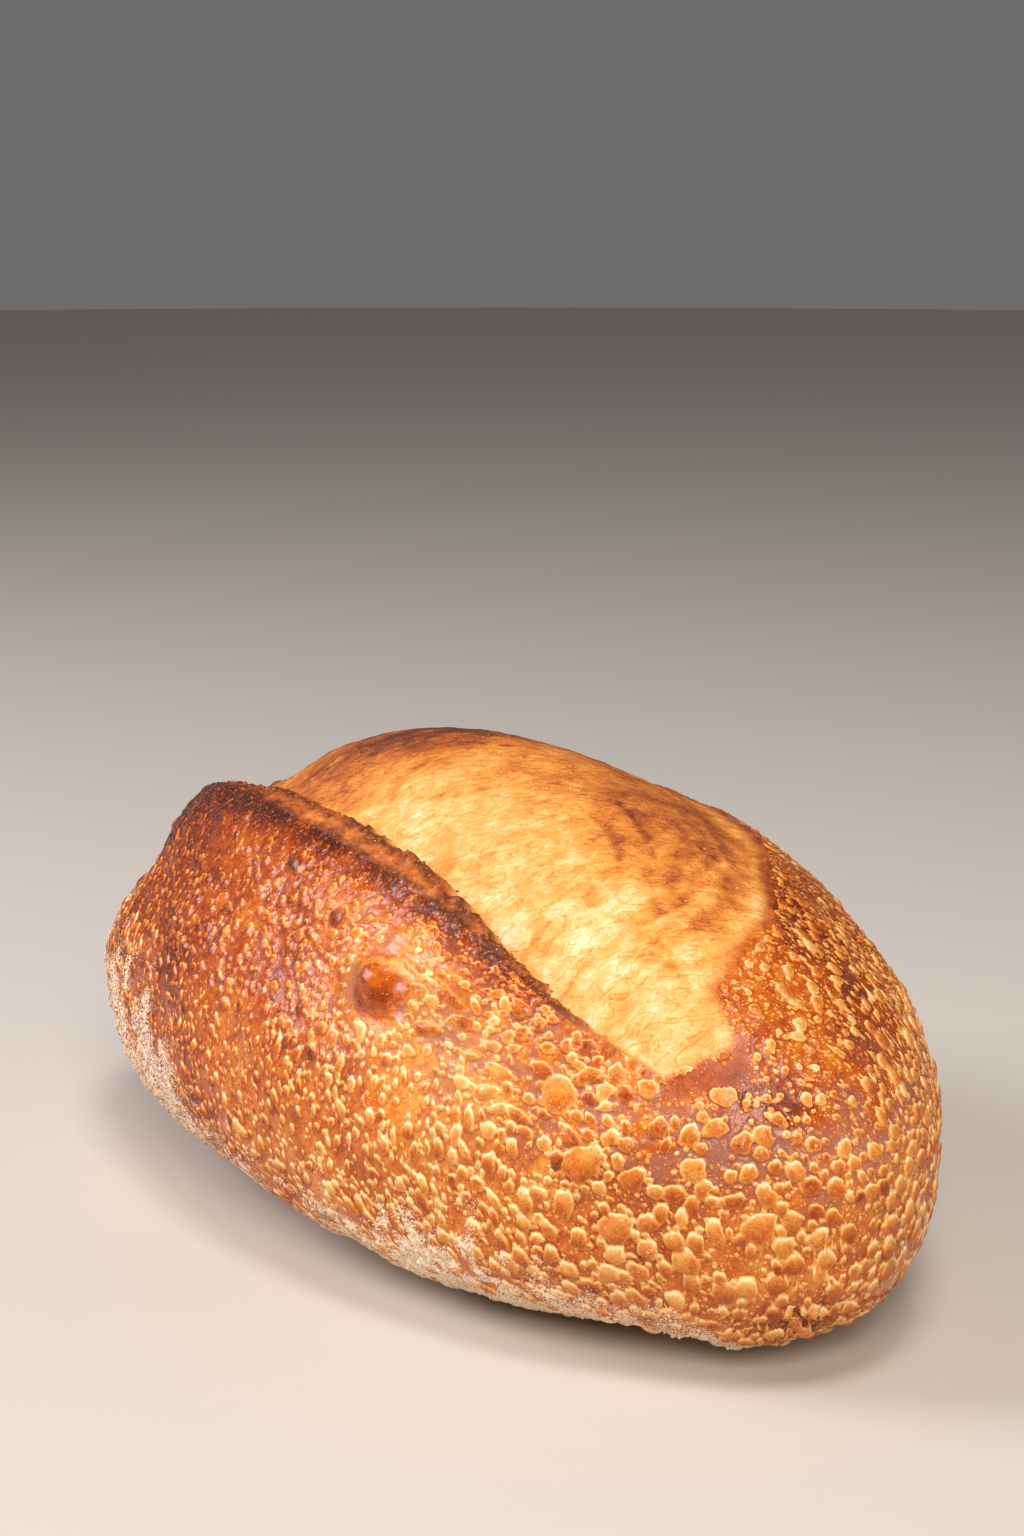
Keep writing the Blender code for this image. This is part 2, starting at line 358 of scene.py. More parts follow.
def block_angles(block):
    """Turn and section angle of each point on the block's surface."""
    bx, by, bz = block.T
    on_face = 1.0 - 1e-6
    ring = np.maximum(np.abs(by), np.abs(bz))
    cap = END_TURN * ring
    crowded = bx + CROWDING * (1.0 - bx ** 2)
    turn = math.pi / 2 - crowded * (math.pi / 2 - END_TURN)
    turn = np.select([bx > on_face, bx < -on_face], [cap, math.pi - cap], turn)
    turn = np.clip(turn, 1e-5, math.pi - 1e-5)

    py, pz = by / np.maximum(ring, 1e-9), bz / np.maximum(ring, 1e-9)
    side = np.select([pz > on_face, py > on_face, pz < -on_face], [0, 1, 2], 3)
    share = np.select([side == 0, side == 1, side == 2], [1 + py, 1 - pz, 1 - py], 1 + pz) / 2
    start = np.take(CORNER_ANGLES, side)
    even = start + (np.take(CORNER_ANGLES, side + 1) - start) * share

    edge = ear_angle(turn)
    girth = (WIDTH / 2 + CROWN_HEIGHT - WAIST_HEIGHT) / 2
    foot = edge - np.maximum(torn_width(station(turn)[0]), 0.0024) / girth
    angles = [np.full_like(turn, CORNER_ANGLES[0]), edge, foot, foot - TORN_STEP / girth,
              np.full_like(turn, CORNER_ANGLES[1])]
    top = angles[0]
    for i in range(4):
        part = np.clip((share - TOP_LINES[i]) / (TOP_LINES[i + 1] - TOP_LINES[i]), 0.0, 1.0)
        top = top + part * (angles[i + 1] - angles[i])
    return turn, np.where(side == 0, top, even)


block_mesh = fine_block()
loaf_data = bpy.data.meshes.new("loaf_skin")
block_mesh.to_mesh(loaf_data)
block_mesh.free()
block = np.empty(len(loaf_data.vertices) * 3)
loaf_data.vertices.foreach_get("co", block)
turn, angle = block_angles(block.reshape(-1, 3))
point, out = body(turn, angle)
x, y, z = point.T

# Where each point lies: across the score from the ear's edge, and inside the bloom's rim.
_, half_width, rise, _ = station(turn)
top = ease((z - WAIST_HEIGHT - SCORE_RISE) / SCORE_BLEND)
to_far = ease((FAR_START - x) / FAR_BLEND)
from_right = np.where(angle < -math.pi / 2, angle + 2 * math.pi, angle)
across = (ear_angle(turn) - from_right) * (half_width + rise) / 2
rim_wander = 0.0013 * grain(point, 0.013, 3) + 0.0005 * grain(point, 0.004, 4)
to_rim = distance_inside_rim(x, y) + rim_wander

# The score's relief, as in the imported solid. The torn face's foot is ragged here.
ragged = 0.0013 * grain(point, 0.0045, 5) + 0.0009 * grain(point, 0.0018, 6)
narrowing = 1.0 - 0.5 * ease((-0.020 - x) / 0.050)
torn = np.maximum(torn_width(x) * 0.8 * narrowing + ragged * ease(torn_width(x) / 0.002), 0.0003)
lift = EAR_LIFT + (EAR_LIFT_FAR - EAR_LIFT) * to_far
lift = lift * ease((EAR_NEAR_END - x) / EAR_NEAR_FADE)
lift = lift * ease((x - EAR_FAR_END) / EAR_FAR_FADE)
flank = lift * np.exp(-(across / EAR_SPREAD) ** 2)
face = lift * (1.0 - TORN_FALL * np.clip(across / torn, 0.0, 1.0))
inside = ease(to_rim / RIM_BLEND)
peak = np.exp(-((x - BLOOM_PEAK_X) / BLOOM_PEAK_SPREAD) ** 2)
swell = BLOOM_SWELL * peak * ease(to_rim / BLOOM_BLEND)
depth = VALLEY_DEPTH + (VALLEY_DEPTH_FAR - VALLEY_DEPTH) * to_far
depth = depth * ease((to_rim + VALLEY_OVERRUN) / VALLEY_BLEND)
bloom_rise = swell * inside - depth * np.exp(-((across - torn) / VALLEY_WIDTH) ** 2)
step = ease((across - torn) / (TORN_STEP * 0.5))
lip = RIM_LIP * np.exp(-(to_rim / RIM_LIP_WIDTH) ** 2) * step
height = np.where(across < 0.0, flank, face * (1.0 - step) + bloom_rise * step) + lip
height = height * top
open_bloom = step * inside * top
torn_face = np.where(across > 0.0, 1.0 - step, 0.0) * top * ease(lift / 0.001)

uneven = np.zeros(len(point))
for spot_turn, spot_angle, radius, rise_by in UNEVEN:
    centre, _ = body(np.array(math.radians(spot_turn)), np.array(math.radians(spot_angle)))
    gap = np.linalg.norm(point - centre, axis=-1)
    uneven += rise_by * np.exp(-(gap / radius) ** 2)
height += uneven * (1.0 - open_bloom)
height += 0.0009 * grain(point, 0.016, 7) * (1.0 - open_bloom)

# Blisters: gas under the wet skin, blown up by the oven. Each has its middle, its two radii, the
# way its long one runs (0 along the loaf, 90 degrees round it), its height and how pale it baked.
# The large ones at the +X end have set places, as turn, angle, radius, stretch, run, height
# and browning; the rest are drawn at random, larger at the +X end and smaller on the far side.
BLISTER_TRIES = 60000
BLISTER_SEED = 21
BLISTER_GAP = 0.78           # of two radii: less than touching, so that some merge
INSET = 0.0005               # the skin lies this far inside, and the blisters stand out of it
BIG_BUBBLE = (68, 149)       # turn and angle of the one large bubble on the ear's flank
BIG_CLEARANCE = 0.0095
BIG_RADIUS = 0.005
LARGE_BLISTERS = [
    (39, 172, 4.0, 1.1, 20, 1.2, 0.45),
    (41, 183, 2.5, 1.6, 80, 0.9, 0.45),
    (35, 187, 3.4, 1.2, 0, 1.0, 0.43),
    (38, 188, 2.0, 1.2, 90, 0.8, 0.45),
    (29, 182, 1.7, 1.1, 60, 0.7, 0.35),
    (27, 183, 1.6, 1.2, 80, 0.7, 0.35),
    (28, 190, 2.3, 1.1, 30, 0.9, 0.45),
    (27, 197, 2.8, 1.1, 70, 1.1, 0.41),
    (23, 187, 2.3, 1.7, 75, 0.8, 0.43),
    (23, 212, 2.5, 1.1, 20, 0.9, 0.51),
    (37, 202, 2.3, 1.1, 50, 0.8, 0.41),
    (32, 196, 1.9, 1.1, 10, 0.7, 0.43),
    (30, 157, 2.1, 1.1, 70, 0.7, 0.43),
    (28, 154, 2.3, 1.2, 80, 0.7, 0.45),
    (35, 145, 2.2, 1.1, 0, 0.8, 0.41),
    (27, 135, 2.5, 1.4, 10, 0.5, 0.39),
    (44, 156, 3.9, 1.3, 15, 0.5, 0.43),
    (33, 174, 2.7, 1.2, 40, 0.7, 0.53),
    (26, 166, 2.7, 1.2, 10, 0.6, 0.43),
    (17, 187, 3.3, 1.5, 20, 0.6, 0.43),
    (36, 215, 2.2, 1.9, 5, 0.5, 0.45),
    (*BIG_BUBBLE, 7.8, 1.55, 15, 1.5, 0.57),
    (60, 146, 2.2, 2.6, 5, 1.1, 0.58),
    (61, 153, 2.4, 2.2, 12, 0.9, 0.60),
    (57, 149, 2.2, 2.4, 5, 0.8, 0.56),
    (51, 156, 2.5, 2.9, 0, 0.8, 0.44),
    (53, 161, 2.1, 1.1, 0, 1.0, 0.47),
    (79, 141, 2.8, 1.3, 10, 1.1, 0.66),
    (90, 135, 3.0, 1.4, 10, 1.2, 0.70),
]


# A drawn blister's radius in mm, chance to stand and browning, and what parts of the loaf change.
RADIUS_MM, RADIUS_NEAR, RADIUS_SIDE, RADIUS_LOW, RADIUS_TIP = 0.76, 0.04, -0.22, -0.15, -0.30
RADIUS_SPREAD, SPREAD_NEAR = 0.36, 0.16      # of its logarithm
RADIUS_LIMITS = (0.00045, 0.0022)
STANDING, CROWDED, STANDING_SIDE, STANDING_TIP = 0.84, 0.50, 0.2, 0.2
BROWN, BROWN_SIDE, BROWN_PULLED, BROWN_TIP, BROWN_FAR = 0.50, 0.01, -0.02, -0.05, 0.13
BROWN_SPREAD, PALE, PALE_SHARE = 0.065, -0.08, 0.06
STEEPNESS = (0.32, 0.56)     # height as a share of the radius
STRETCH, STRETCH_LOW, STRETCH_PULLED = 0.35, 1.0, 1.4
RUN_SPREAD = 22.0            # degrees
DENTED_SHARE = 0.08
DENTED_LARGE = 14            # this one of the large blisters has sunk
WAVES = ((2, 0.09, 0), (3, 0.07, 1), (5, 0.06, 2), (8, 0.03, 0))   # round the outline
LUMPINESS = 0.16
DOME_POWER, BIG_DOME_POWER = 0.62, 1.7
MOAT = -0.16                 # the skin sinks round a blister, as a share of its height
SPARSE_PLACE, SPARSE, SPARSE_REACH = (27, 150), 0.35, 0.011
LOWEST_BLISTER = 0.004
BARE_LIMIT = 0.3

# Where the crust differs, each as a start and a reach, or as a middle and a spread.
NEAR_END = (0.070, 0.035)                    # along x
FAR_SIDE = (-0.012, 0.030)                   # along y
ROUND_THE_END = (0.056, -0.016)              # low down, the end's blisters go on round it
LOW = (0.020, -0.015)
LOW_FLANK = (0.070, -0.03)
FAR_HALF = (0.045, -0.05)
PULLED_ALONG, PULLED_ACROSS = (0.060, 0.034), (-0.013, 0.012)
PULLED_EDGE = 0.004
BURNT_WIDTH, BURNT_WIDER, BURNT_WIDENS = 0.0048, 0.0087, (-0.020, -0.04)
BURNT_NEAR, BURNT_FAR = (0.090, -0.02), (-0.110, 0.02)
TIP_ALONG, TIP_ACROSS = (0.084, 0.008), (0.024, -0.010)
TIP_REACH, TIP_FURTHER, TIP_MIDDLE = 0.0024, 0.0020, (0.010, 0.006)
BY_TIP_Y, BY_TIP_Z = (-0.022, 0.010), (0.046, 0.012)
SMOOTH_GAP, SMOOTH_Y = (-0.0014, 0.0012), (-0.0225, 0.009)
SMOOTH_ALONG, SMOOTH_ABOVE = (0.090, 0.008), (0.056, 0.004)


def tree_of(points):
    """A tree of points, for finding those near a place."""
    tree = kdtree.KDTree(len(points))
    for i, place in enumerate(points.tolist()):
        tree.insert(place, i)
    tree.balance()
    return tree


def clear_of_larger(centres, radii):
    """Which circles stay when the largest are laid first and each keeps off those before it."""
    tree = tree_of(centres)
    open_place = np.ones(len(centres), bool)
    kept = []
    for i in np.argsort(-radii):
        if open_place[i]:
            kept.append(i)
            for _, j, gap in tree.find_range(centres[i], 2 * radii[i] * BLISTER_GAP):
                if gap < (radii[i] + radii[j]) * BLISTER_GAP:
                    open_place[j] = False
    return np.array(kept)


# The skin before its blisters, and how far each of those parts holds at every point.
base = point + out * (height - INSET)[:, None]
base[:, 2] = np.maximum(base[:, 2], 0.0)
near_end = past(x, NEAR_END)
far_side = past(y, FAR_SIDE) * (1.0 - near_end * past(z, ROUND_THE_END))
ear_side = (1.0 - near_end) * (1.0 - far_side)
pulled = around(x, PULLED_ALONG) * around(across, PULLED_ACROSS) * (across < PULLED_EDGE)
burnt_width = BURNT_WIDTH + BURNT_WIDER * past(x, BURNT_WIDENS)
burnt = np.exp(-(np.minimum(across, 0.0) / burnt_width) ** 2) * (across < torn * 0.5 + 0.0002)
burnt = burnt * past(x, BURNT_NEAR) * past(x, BURNT_FAR) * top
at_tip = past(x, TIP_ALONG) * past(across, TIP_ACROSS)
tip_reach = TIP_REACH + TIP_FURTHER * around(across, TIP_MIDDLE)
smooth_patch = around(to_rim + tip_reach, SMOOTH_GAP)
smooth_patch = smooth_patch * np.exp(-((y - SMOOTH_Y[0]) / SMOOTH_Y[1]) ** 4)
smooth_patch = smooth_patch * past(x, SMOOTH_ALONG) * past(z, SMOOTH_ABOVE)


def distance_from(points, turn_degrees, angle_degrees):
    """Distance of points from one place of the plain body."""
    place, _ = body(np.array(math.radians(turn_degrees)), np.array(math.radians(angle_degrees)))
    return np.linalg.norm(points - place, axis=-1)


from_bubble = distance_from(point, *BIG_BUBBLE)
bare = np.maximum.reduce([ease((to_rim + tip_reach * at_tip) / 0.002) * step * top, torn_face,
                          ease((smooth_patch - 0.35) / 0.2)])

# The drawn blisters: places, radii, which of them stand, stretch, run, height and browning. The
# large ones then join them at the head of each list.
draw = np.random.default_rng(BLISTER_SEED)
tries = draw.choice(len(point), BLISTER_TRIES, replace=False)
tries = tries[(z[tries] > LOWEST_BLISTER) & (bare[tries] < BARE_LIMIT)
              & (from_bubble[tries] > BIG_CLEARANCE)]
near, side, pull = near_end[tries], far_side[tries], pulled[tries]
by_tip = near * past(y[tries], BY_TIP_Y) * past(z[tries], BY_TIP_Z)
typical = RADIUS_MM + RADIUS_NEAR * near + RADIUS_SIDE * side + RADIUS_LOW * past(z[tries], LOW)
typical += RADIUS_TIP * by_tip * (1.0 - side)
radius = np.exp((RADIUS_SPREAD + SPREAD_NEAR * near) * draw.normal(size=len(tries)))
radius = 0.001 * typical * radius
radius = np.clip(radius * (1.0 - 0.4 * burnt[tries]), *RADIUS_LIMITS)
crowded = CROWDED * grain(base[tries], 0.012, 22)
sparse = SPARSE * np.exp(-(distance_from(base[tries], *SPARSE_PLACE) / SPARSE_REACH) ** 2)
likely = STANDING + crowded + STANDING_SIDE * side + STANDING_TIP * by_tip - sparse
standing = draw.random(len(tries)) < likely
low_flank = ear_side[tries] * past(z[tries], LOW_FLANK)
stretch = STRETCH + STRETCH_LOW * low_flank + STRETCH_PULLED * pull
stretch = 1.0 + draw.random(len(tries)) * stretch
run = draw.uniform(0, 180, len(tries))
run = np.where(pull > 0.25, 0.0, np.where(low_flank > 0.4, 90.0, run))
run = np.radians(run + RUN_SPREAD * draw.normal(size=len(tries)))
height_of = radius * draw.uniform(*STEEPNESS, len(tries))
brown = BROWN + BROWN_SIDE * side + BROWN_PULLED * pull + BROWN_TIP * by_tip
brown = brown + BROWN_FAR * ear_side[tries] * past(x[tries], FAR_HALF)
brown = brown + BROWN_SPREAD * draw.normal(size=len(tries))
brown = brown + PALE * (draw.random(len(tries)) < PALE_SHARE)
centre_of = base[tries]
dented = draw.random(len(tries)) < DENTED_SHARE

large = np.array(LARGE_BLISTERS)
large_at = body(np.radians(large[:, 0]), np.radians(large[:, 1]))[0]
skin_tree = tree_of(base)
large_centres = np.array([skin_tree.find(place)[0] for place in large_at.tolist()])
centre_of = np.concatenate([large_centres, centre_of])
radius = np.concatenate([large[:, 2] * 0.001, radius])
stretch = np.concatenate([large[:, 3], stretch])
run = np.concatenate([np.radians(large[:, 4]), run])
height_of = np.concatenate([large[:, 5] * 0.001, height_of])
brown = np.concatenate([large[:, 6], brown])
dented = np.concatenate([np.arange(len(large)) == DENTED_LARGE, dented])
standing = np.concatenate([np.ones(len(large), bool), standing])

# Each point near a blister is paired with it, and seen from its middle: along its long way and
# its short one, as a share of its wavy outline.
kept = clear_of_larger(centre_of, radius)
kept = kept[standing[kept]]
kept_set = [(i, centre_of[i], radius[i] * math.sqrt(stretch[i]) * 1.3) for i in kept]
pair_blister, pair_point = [], []
for i, centre, reach in kept_set:
    found = [j for _, j, _ in skin_tree.find_range(centre, reach)]
    pair_point += found
    pair_blister += [i] * len(found)
pair_blister, pair_point = np.array(pair_blister), np.array(pair_point)

offset = base[pair_point] - centre_of[pair_blister]
normal = out[pair_point]
along_loaf = np.array([1.0, 0.0, 0.0]) - normal * normal[:, :1]
along_loaf /= np.maximum(np.linalg.norm(along_loaf, axis=-1, keepdims=True), 1e-3)
round_loaf = np.cross(normal, along_loaf)
du = np.sum(offset * along_loaf, axis=-1)
dv = np.sum(offset * round_loaf, axis=-1)
turned = run[pair_blister]
long_way = (du * np.cos(turned) + dv * np.sin(turned)) / np.sqrt(stretch[pair_blister])
short_way = (dv * np.cos(turned) - du * np.sin(turned)) * np.sqrt(stretch[pair_blister])
bearing = np.arctan2(short_way, long_way)
phase = draw.uniform(0, 2 * math.pi, (len(radius), 3))[pair_blister].T
wavy = sum((size * np.cos(count * bearing + phase[which]) for count, size, which in WAVES), 1.0)
radius = radius[pair_blister]
swollen = radius > BIG_RADIUS
share = np.hypot(long_way, short_way) / (radius * wavy)
share *= 1.0 + LUMPINESS * grain(base[pair_point], 0.0024, 50)
share *= np.where(swollen, 1.0 + 0.24 * grain(base[pair_point], 0.006, 53), 1.0)
dome = np.clip(1.0 - share ** 2, 0.0, 1.0) ** DOME_POWER
dome = np.where(dented[pair_blister], dome * (1.0 - 0.8 * np.exp(-(share / 0.45) ** 2)), dome)
dome = np.where(swollen, np.clip(1.0 - share ** 2, 0.0, 1.0) ** BIG_DOME_POWER, dome)
moat = MOAT * around(share, (1.08, 0.14)) * ~swollen

strongest = np.argsort(dome * height_of[pair_blister], kind="stable")
blister = np.zeros(len(point))
blister_height = np.zeros(len(point))
hit = pair_point[strongest]
blister[hit] = dome[strongest]
blister_height[hit] = (dome * height_of[pair_blister])[strongest]

# Each point's depth inside its blister's outline in mm, which the finish reads as its edge, how
# brown the blister's cap is, with painted highlight on its upper side and painted shade on the large
# bubble's lower, far half, and how strong the painted highlight on its lip is. The large bubble's
# edge is drawn out.
inward = (1.0 - share) * radius * 1000.0
inward = np.where(swollen, np.interp(inward, (-1.0, 0.0, 2.0, 4.5), (-0.6, 0.0, 0.3, 4.0)), inward)
deepest = np.argsort(inward, kind="stable")
hit = pair_point[deepest]
edge = np.full(len(point), -0.6)
edge[hit] = inward[deepest]
edge -= 3.0 * bare
# Painted highlight: lips and caps are paler on their upper side, where light from above falls.
lift = np.clip(offset[:, 2] / radius, -1.0, 1.0)
upper_lip_highlight = np.clip(0.46 + 0.74 * lift, 0.12, 1.0) * np.where(swollen, 0.25, 1.0)
lip_highlight = np.zeros(len(point))
lip_highlight[hit] = upper_lip_highlight[deepest]
# Painted shade: the large bubble's lower half and its half towards the far end are darker.
shaded_half = np.clip(-long_way / radius - 0.6 * lift, -0.3, 1.0)
bubble_shade = np.where(swollen, 0.03 + 0.11 * shaded_half, 0.0)
cap_brown_and_light = brown[pair_blister] + bubble_shade - 0.09 * lift - 0.12 * np.maximum(lift, 0.0) ** 2
bubble = np.full(len(point), 0.45)
bubble[hit] = cap_brown_and_light[deepest]
moat_depth = np.zeros(len(point))
np.minimum.at(moat_depth, pair_point, moat * height_of[pair_blister])
blister *= 1.0 - bare
blister_height = (blister_height + moat_depth * (blister < 0.05)) * (1.0 - bare)

# Folds and fine relief: a few long creases in the bloom, flakes pulled along the ear, faint
# wrinkles and a swirl round the bloom's rim, crumbs on the torn face, a broken foot at the +X end,
# and a slightly rough skin everywhere. A crease is a start, a bend and an end in plan, in mm.
CREASES = [
    ((5, -33), (-6, -24), (-3, -14)),
    ((3, -28), (20, -28), (24, -8)),
    ((-8, -8), (2, -4), (9, 7)),
    ((36, 2), (54, 2), (68, -6)),
    ((40, -8), (56, -4), (66, -14)),
    ((74, -22), (86, -14), (73, 6)),
    ((86, -22), (101, -14), (92, 2)),
]
CREASE_WIDTH = 0.0009
CREASE_DEPTH, SWIRL_DEPTH, WRINKLE_HEIGHT = 0.00035, 0.00035, 0.00030
BROKEN_PLACE, BROKEN_HEIGHT, BROKEN_REACH = (20, 260), 0.0014, 0.009
flank_sheen = around(x, (0.052, 0.040)) * around(across, (-0.018, 0.016))
girth_way = np.stack([x, across, np.zeros(len(x))], -1)
fine = 0.00013 * grain(point, 0.0042, 31) + 0.00007 * grain(point, 0.0019, 32)
fine += 0.00045 * pulled * grain(girth_way, (0.0070, 0.0016, 0.01), 33)
fine += 0.00040 * flank_sheen * grain(girth_way, (0.0090, 0.0032, 0.01), 39)
bent_way = np.stack([x + 0.12 * across + 0.004 * grain(point, 0.02, 34), across,
                     np.zeros(len(x))], -1)
wrinkles = (0.6 * grain(bent_way, (0.0030, 0.0060, 0.01), 35)
            + 0.7 * grain(bent_way, (0.0060, 0.0130, 0.01), 36))
round_rim = np.stack([to_rim, 0.09 * np.arctan2(across - 0.02, x - 0.02), np.zeros(len(x))], -1)
swirl = grain(round_rim, (0.0030, 0.0160, 0.01), 47)
swirl = swirl + 0.7 * grain(round_rim, (0.0014, 0.0090, 0.01), 48)
swirl = swirl * ease((0.030 - to_rim) / 0.012) * ease((x - 0.030) / 0.030) * open_bloom
creased = np.zeros(len(point))
for curve in CREASES:
    start, bend, end = 0.001 * np.array(curve)
    for part in np.linspace(0.0, 1.0, 28):
        spot = start * (1 - part) ** 2 + 2 * bend * part * (1 - part) + end * part ** 2
        gap = np.hypot(x - spot[0], y - spot[1]) / (CREASE_WIDTH * (0.4 + math.sin(math.pi * part)))
        creased = np.maximum(creased, np.exp(-gap ** 2) * math.sin(math.pi * part) ** 0.5)
creased *= open_bloom * np.clip(0.8 + grain(point, 0.0025, 54), 0.0, 1.4)
fine += WRINKLE_HEIGHT * wrinkles * open_bloom - SWIRL_DEPTH * swirl - CREASE_DEPTH * creased
broken = np.exp(-(distance_from(point, *BROKEN_PLACE) / BROKEN_REACH) ** 2)
fine += BROKEN_HEIGHT * grain(point, 0.0018, 40) * broken
fine += (0.0007 * grain(point, 0.0022, 37) + 0.0004 * grain(point, 0.0011, 38)) * torn_face
surface = base + out * (blister_height + fine)[:, None]
surface[:, 2] = np.where(base[:, 2] <= 0.0, 0.0, np.maximum(surface[:, 2], 0.0))

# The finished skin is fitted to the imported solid's box.
low, high = np.array(cad_box[0]), np.array(cad_box[1])
scale = (high - low) / (surface.max(axis=0) - surface.min(axis=0))
surface = (surface - surface.min(axis=0)) * scale + low

# Browning, from 0 for pale dough to 1 for charred. The spots are where the oven darkened the crust
# most, or a stretched skin stayed light: turn, angle, radius and change.
BROWN_SPOTS = [
    (24, 129, 0.005, 0.18),
    (19, 118, 0.005, 0.20),
    (83, 152, 0.013, 0.13),
    (103, 160, 0.011, 0.10),
    (124, 160, 0.010, 0.12),
    (128, 128, 0.016, 0.24),
    (46, 73, 0.008, 0.16),
    (40, 62, 0.012, 0.08),
    (56, 162, 0.019, -0.13),
    (34, 172, 0.008, 0.07),
    (22, 150, 0.010, 0.08),
    (20, 258, 0.007, 0.26),
    (45, 165, 0.007, 0.05),
]
SKIN, SMOOTH_SKIN, CHARRED = 0.57, 0.65, 0.92


def total(start, changes):
    """A level with its changes added, each a size and where it holds."""
    return start + sum(change * where for change, where in changes)


patchy = grain(point, 0.021, 41)
blotch = grain(point, 0.008, 42)
mottle = grain(point, 0.0026, 46)
ring = around(from_bubble, (0.0105, 0.0025)) * np.clip(0.8 + 1.2 * blotch + mottle, 0.0, 1.5)
skin = total(SKIN, (
    (0.01, 1.0 - near_end),
    (0.10, far_side),
    (0.10, ear_side * past(x, (0.020, -0.04))),
    (0.07, patchy), (0.08, blotch), (0.08, mottle * (1.0 + 0.5 * far_side)),
    (0.06, grain(point, 0.0013, 52)),
    (-0.06, ring)))
skin += (SMOOTH_SKIN - skin) * 0.9 * ease((smooth_patch - 0.15) / 0.3)
for *place, reach, change in BROWN_SPOTS:
    skin += change * np.exp(-(distance_from(point, *place) / reach) ** 2)
char = total(0.78, ((0.7, blotch), (0.35, mottle), (0.45, past(x, (0.010, -0.03)))))
char = burnt * np.clip(char, 0.0, 1.0)
skin = skin + (CHARRED - skin) * char
bubble = bubble + total(0.01, (
    (-0.02, blister), (0.09, mottle), (0.5, (skin - 0.60) * (1.0 - near_end))))
bubble = bubble + (skin - 0.07 - bubble) * char * 0.92

# The bloom browns away from the ear and towards the far end, with a pale band inside its rim, a
# brown one inside that, and a dark edge. The torn face is darkest at its foot and its edge.
by_rim = past(across, (0.02, 0.02))
tender = total(0.23, (
    (0.30, past(across, (0.014, 0.034))), (0.12, past(across, (0.045, 0.02))),
    (0.50, past(x, (0.018, -0.060))), (0.13, past(x, (0.005, -0.03))),
    (-0.30, past(x, (-0.018, -0.045))),
    (0.13, around(x, (0.052, 0.020)) * around(across, (0.050, 0.012))),
    (0.08, patchy), (0.12, blotch), (0.05, mottle),
    (0.16, swirl), (0.08, wrinkles), (0.24, creased),
    (-0.16, by_rim * around(to_rim, (0.0035, 0.002))),
    (0.09, by_rim * around(to_rim, (0.0080, 0.0013))),
    (0.22, past(across, (0.01, 0.02)) * around(to_rim, (-0.0002, 0.0014)))))
crumb_level = total(0.74, (
    (0.16, grain(point, 0.0030, 44)), (0.12, blotch), (0.16, past(x, (-0.010, -0.05))),
    (0.26, around(across - torn, (0.0, 0.0012))), (0.22, around(across, (0.0, 0.0010)))))
bloom_mask = to_rim + (tip_reach + 0.0003) * at_tip - 0.0003
bloom_mask = step * ease(bloom_mask / (0.0035 - 0.0028 * at_tip))
bloom_mask = bloom_mask * top * (1.0 - ease(edge / 0.25))

# Flour, from 0 for none to 1 for a full coat: up to a line that climbs towards the far end and
# runs out at the +X end, in streaks down the flank and clumps, and caked at the foot of the ear's
# side where the loaf was turned out of its basket.
FLOUR_LINE, FLOUR_CLIMB, FLOUR_DEPTH = 0.027, 0.036, 0.024
FLOUR_CLIMBS, FLOUR_ENDS = (0.030, -0.11), (0.120, -0.014)
FLOUR_COAT, FULL_COAT = 0.80, 1.0
CAKED_ALONG, CAKED_BELOW = (0.058, 0.028), (0.030, -0.010)
flour_line = FLOUR_LINE + FLOUR_CLIMB * past(x, FLOUR_CLIMBS)
flour_line = flour_line * past(x, FLOUR_ENDS)
streaks = grain(np.stack([x, z * 0.25, y * 0.2], -1), 0.0060, 45)
caked = around(x, CAKED_ALONG) * past(z, CAKED_BELOW) * (y < 0.0)
flour = total((flour_line - z) / FLOUR_DEPTH - 0.07, (
    (0.45, streaks), (0.20, blotch), (0.10, mottle), (0.5, grain(point, 0.0050, 49)),
    (-0.06, past(x, (-0.04, -0.04))), (0.04, past(x, (0.010, 0.03))),
    (0.30, past(z, (0.012, -0.010)) * past(x, (0.118, -0.01))),
    (0.40, caked), (1.1, caked * grain(point, 0.0034, 55))))
thickest = FLOUR_COAT + (FULL_COAT - FLOUR_COAT) * np.maximum(past(z, (0.006, -0.004)), caked)
flour = np.clip(flour, 0.0, thickest) * (z < 0.09)

# Painted sheen: a mauve tint between the blisters, a painted reflection of the window on the
# skin, in a band round the +X end.
SHEEN_HEIGHT, SHEEN_SLOPE, SHEEN_HALF = 0.066, -0.25, 0.011
sheen_height = SHEEN_HEIGHT + SHEEN_SLOPE * np.maximum(x - 0.05, 0.0)
painted_sheen = around(z - sheen_height, (0.0, SHEEN_HALF)) * past(x, (0.005, 0.04)) * past(y, (0.032, -0.015))
painted_sheen = painted_sheen * (1.0 - ease(smooth_patch / 0.2)) * np.clip(0.55 + 1.5 * blotch + 1.2 * mottle, 0.0, 1.0)

small = (1.0 - 0.75 * ear_side * (1.0 - char)) * (1.0 - bare)
attributes = {"skin": skin, "bubble": bubble, "edge": edge, "tender": tender, "bloom": bloom_mask,
              "torn": torn_face, "crumb": crumb_level, "flour": flour, "small": small,
              "painted_sheen": painted_sheen, "lip_highlight": lip_highlight,
              "dull": np.maximum.reduce([bloom_mask, torn_face, smooth_patch])}
for name, values in attributes.items():
    layer = loaf_data.attributes.new(name, "FLOAT", "POINT")
    layer.data.foreach_set("value", values.astype(np.float32))
loaf_data.vertices.foreach_set("co", surface.astype(np.float32).ravel())
loaf_data.update()
loaf_data.shade_smooth()
normals = np.empty(len(point) * 3, np.float32)
loaf_data.vertex_normals.foreach_get("vector", normals)
normals = normals.reshape(-1, 3)

